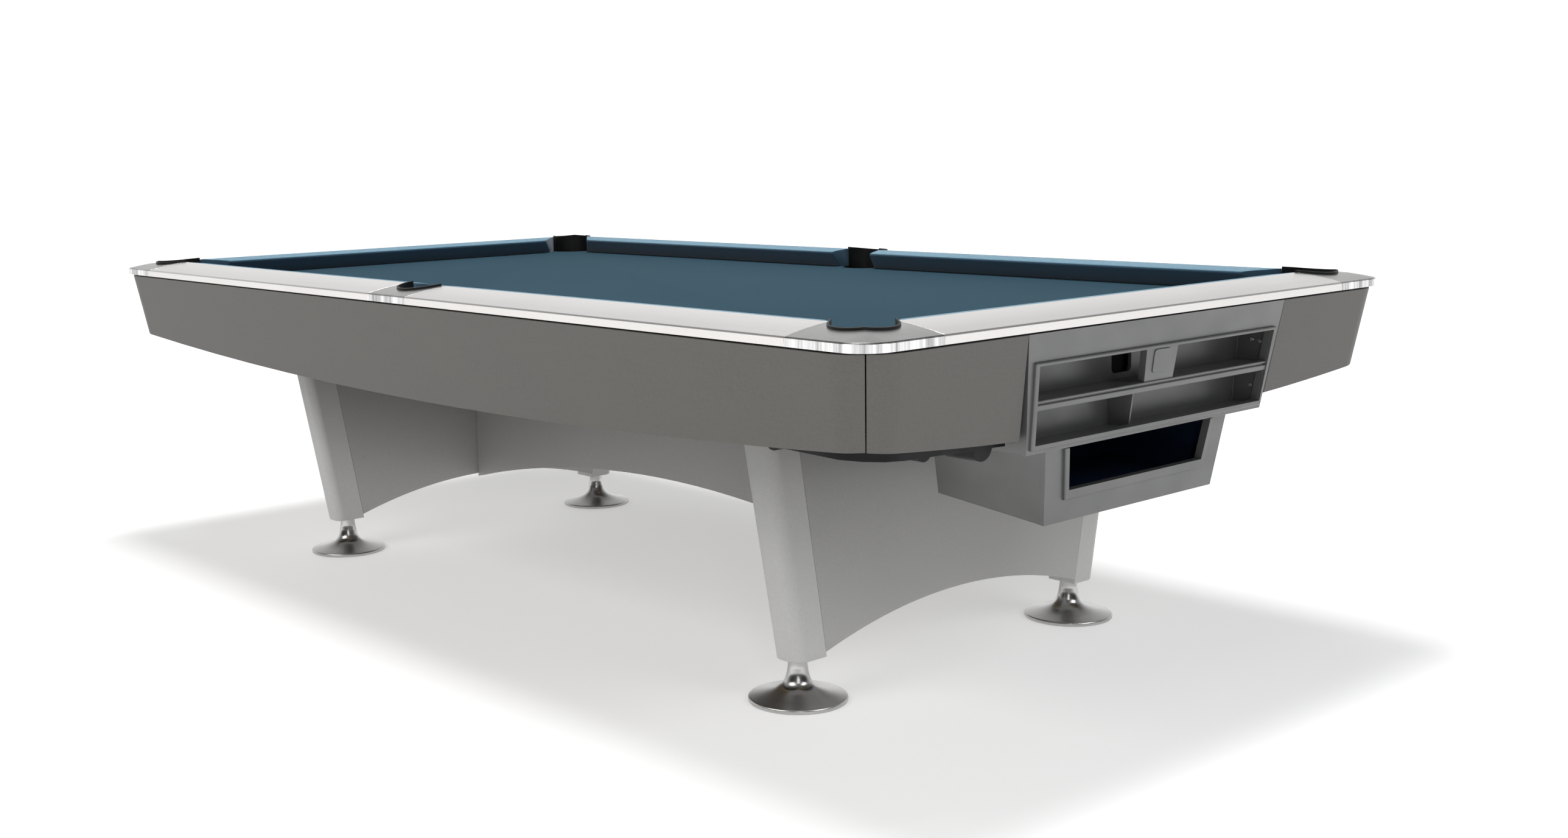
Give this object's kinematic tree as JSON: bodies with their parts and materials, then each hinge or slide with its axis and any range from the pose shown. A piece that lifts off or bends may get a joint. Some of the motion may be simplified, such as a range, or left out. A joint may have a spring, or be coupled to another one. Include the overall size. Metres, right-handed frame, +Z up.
{
  "type": "pool table",
  "caption": "Tournament pool table: slate bed under blue cloth, aluminium rails, grey aprons, ball-return box at one end, H-shaped base on screw levellers.",
  "frame": {"origin": "on the floor under the middle of the table, at the bottom centre of its box", "axes": "+X along the table towards the ball-return end, +Y across the table, +Z up"},
  "size_m": [2.8514, 1.5814, 0.7908],
  "materials": {
    "slate": "honed",
    "bed_cloth": "fine worsted weave",
    "cushion_cloth": "fine worsted weave",
    "frame_wood": "sawn softwood",
    "rail_aluminium": "brushed along the rail",
    "cap_aluminium": "brushed top, polished band",
    "zinc_steel": "zinc plated",
    "black_rubber": "matt moulded",
    "black_plastic": "fine moulded grain",
    "apron_laminate": "brushed silver-grey laminate",
    "base_laminate": "light brushed silver laminate",
    "brushed_steel": "turned and brushed",
    "box_paint": "satin silver-grey paint",
    "navy_lining": "felt"
  },
  "bodies": {
    "table": {"slate_head": "slate", "slate_middle": "slate", "slate_foot": "slate", "bed_cloth": "bed_cloth", "frame_side_beams": "frame_wood", "frame_cross_beams": "frame_wood", "sub_rails": "frame_wood", "rail_top_foot_end": "rail_aluminium", "rail_top_foot_left": "rail_aluminium", "rail_top_foot_right": "rail_aluminium", "rail_top_head_end": "rail_aluminium", "rail_top_head_left": "rail_aluminium", "rail_top_head_right": "rail_aluminium", "corner_cap_foot_left": "cap_aluminium", "corner_cap_foot_right": "cap_aluminium", "corner_cap_head_left": "cap_aluminium", "corner_cap_head_right": "cap_aluminium", "side_cap_left": "cap_aluminium", "side_cap_right": "cap_aluminium", "cushion_foot_end": "cushion_cloth", "cushion_foot_left": "cushion_cloth", "cushion_foot_right": "cushion_cloth", "cushion_head_end": "cushion_cloth", "cushion_head_left": "cushion_cloth", "cushion_head_right": "cushion_cloth", "rail_bolts": "zinc_steel", "threaded_inserts": "zinc_steel", "ball_box_screws": "zinc_steel", "pocket_liner_foot_left": "black_rubber", "pocket_liner_foot_right": "black_rubber", "pocket_liner_head_left": "black_rubber", "pocket_liner_head_right": "black_rubber", "pocket_liner_side_left": "black_rubber", "pocket_liner_side_right": "black_rubber", "ball_track_left": "black_plastic", "ball_track_right": "black_plastic", "apron_left": "apron_laminate", "apron_right": "apron_laminate", "apron_head": "apron_laminate", "apron_foot_left": "apron_laminate", "apron_foot_right": "apron_laminate", "leg_column_foot_left": "base_laminate", "leg_column_foot_right": "base_laminate", "leg_column_head_left": "base_laminate", "leg_column_head_right": "base_laminate", "pedestal_panel_foot": "base_laminate", "pedestal_panel_head": "base_laminate", "stretcher_panel": "base_laminate", "ball_box_face": "box_paint", "ball_box_housing": "box_paint", "upper_ball_tray": "box_paint", "lower_ball_tray": "box_paint", "face_badge": "box_paint", "lower_box_housing": "box_paint", "lower_box_face": "box_paint", "lower_box_lining": "navy_lining"},
    "leveller_foot_left_body": {"leveller_foot_left": "brushed_steel"},
    "leveller_foot_right_body": {"leveller_foot_right": "brushed_steel"},
    "leveller_head_left_body": {"leveller_head_left": "brushed_steel"},
    "leveller_head_right_body": {"leveller_head_right": "brushed_steel"}
  },
  "joints": [
    {"name": "leveller_foot_left_travel", "type": "slide", "parent": "table", "child": "leveller_foot_left_body", "axis": [0, 0, -1], "range_m": [0, 0.03]},
    {"name": "leveller_foot_right_travel", "type": "slide", "parent": "table", "child": "leveller_foot_right_body", "axis": [0, 0, -1], "range_m": [0, 0.03]},
    {"name": "leveller_head_left_travel", "type": "slide", "parent": "table", "child": "leveller_head_left_body", "axis": [0, 0, -1], "range_m": [0, 0.03]},
    {"name": "leveller_head_right_travel", "type": "slide", "parent": "table", "child": "leveller_head_right_body", "axis": [0, 0, -1], "range_m": [0, 0.03]}
  ]
}
